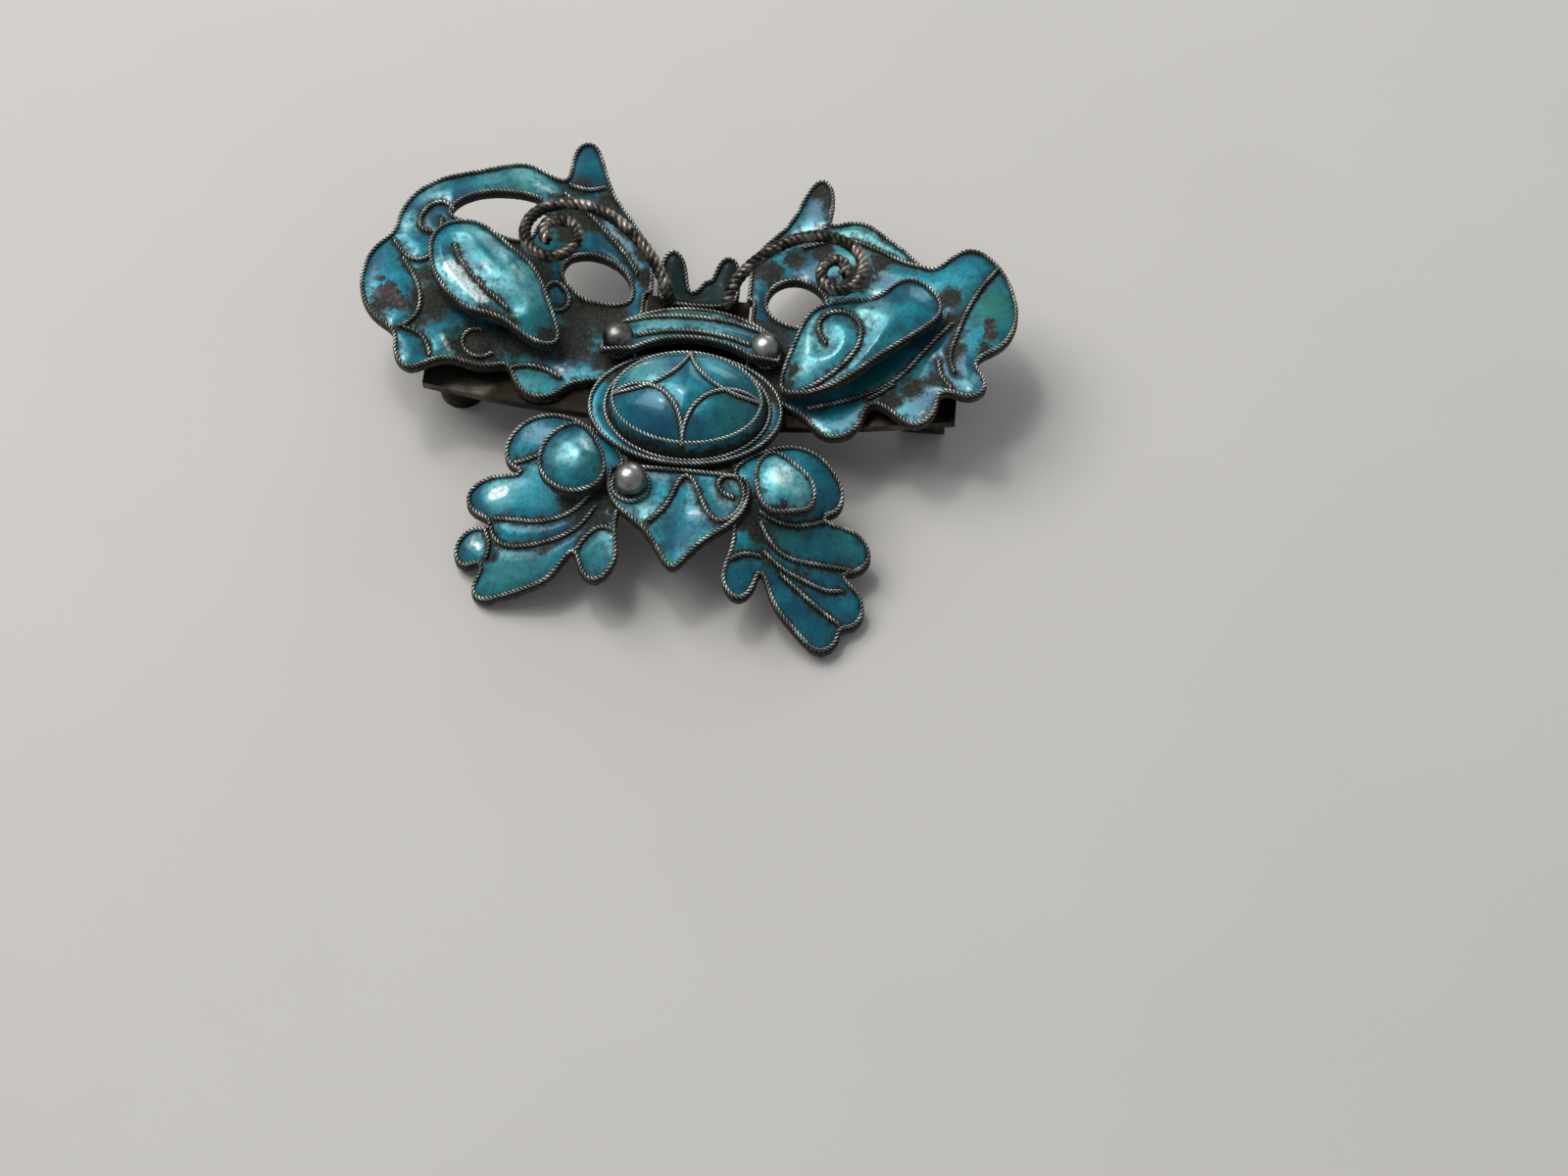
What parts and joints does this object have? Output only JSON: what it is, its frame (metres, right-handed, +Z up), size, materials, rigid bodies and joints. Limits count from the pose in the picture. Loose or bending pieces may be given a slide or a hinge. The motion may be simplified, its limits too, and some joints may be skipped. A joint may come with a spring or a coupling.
{
  "type": "decorative hair pin",
  "caption": "Butterfly-shaped enamelled silver hair pin with twisted wire borders, coiled antennae and a swivelling pin tongue that closes into a hooked catch on a riveted back bar.",
  "frame": {"origin": "under the middle of the ornament, on the plane that the pin lies on", "axes": "+X across the butterfly to its right wing, along the back bar and the tongue; +Y towards the head and antennae; +Z up, away from the hair, out of the decorated face"},
  "size_m": [0.0344, 0.0278, 0.008],
  "materials": {
    "silver": "hand-polished silver, lightly tarnished",
    "aged_silver": "dark oxidised silver",
    "twisted_wire": "two silver strands twisted together, dark between the strands",
    "enamel": "glossy translucent turquoise to deep blue enamel on a silver sheet"
  },
  "bodies": {
    "ornament": {"back_bar": "silver", "spine_strip": "silver", "hinge_rivet": "silver", "hinge_spacer": "silver", "catch": "silver", "wing_post_left": "silver", "wing_post_right": "silver", "leaf_post_left": "silver", "leaf_post_right": "silver", "bead_rivet_left": "silver", "bead_rivet_right": "silver", "bead_rivet_tail": "silver", "body_base": "aged_silver", "antenna_left": "aged_silver", "antenna_right": "aged_silver", "body_rim_wire": "twisted_wire", "body_edge_wire": "twisted_wire", "body_star_wire": "twisted_wire", "collar_wires": "twisted_wire", "tail_edge_wire": "twisted_wire", "tail_scroll_wire": "twisted_wire", "tail_bead_ring": "twisted_wire", "upper_wing_wires_left": "twisted_wire", "upper_wing_wires_right": "twisted_wire", "leaf_wires_left": "twisted_wire", "leaf_wires_right": "twisted_wire", "lower_wing_wires_left": "twisted_wire", "lower_wing_wires_right": "twisted_wire", "lobe_wire_left": "twisted_wire", "lobe_wire_right": "twisted_wire", "body_dome": "enamel", "collar": "enamel", "head_crest": "enamel", "tail_shield": "enamel", "upper_wing_left": "enamel", "upper_wing_right": "enamel", "leaf_left": "enamel", "leaf_right": "enamel", "lower_wing_left": "enamel", "lower_wing_right": "enamel", "lobe_left": "enamel", "lobe_right": "enamel"},
    "tongue": {"pin_tongue": "silver"}
  },
  "joints": [
    {"name": "tongue_swing", "type": "hinge", "parent": "ornament", "child": "tongue", "pos_m": [-0.0119, 0.00085, 0.00125], "axis": [0, 0, 1], "range_deg": [0, 180]}
  ]
}
